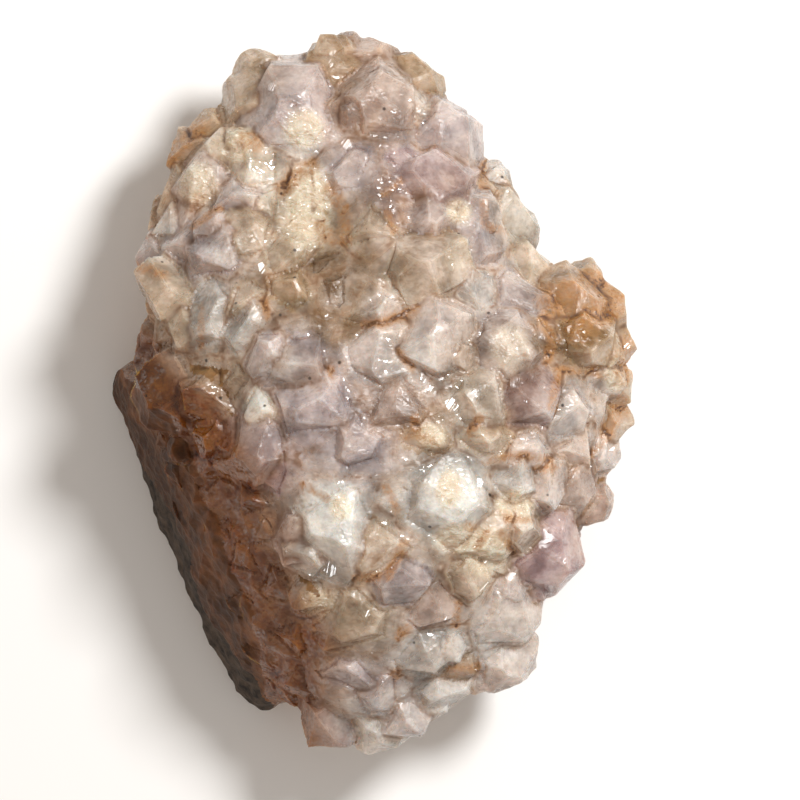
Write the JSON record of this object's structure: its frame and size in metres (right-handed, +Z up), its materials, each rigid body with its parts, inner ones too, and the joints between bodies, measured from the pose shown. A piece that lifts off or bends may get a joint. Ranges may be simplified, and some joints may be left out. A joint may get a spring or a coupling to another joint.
{
  "type": "rough quartz cluster",
  "caption": "Rough cluster of intergrown pale lilac and smoky quartz crystals on a broken base, cut flat underneath so that it lies crystals up.",
  "frame": {"origin": "centre of the bounding box at the flat cut base", "axes": "+Z up from the flat cut base to the crystals, +Y along the cluster's long side towards its narrower end with the highest reach, +X across it"},
  "size_m": [0.1146, 0.1568, 0.0637],
  "materials": {
    "quartz": "translucent, with glossy and frosted crystal faces"
  },
  "bodies": {
    "root": {"quartz_cluster": "quartz"}
  },
  "joints": []
}
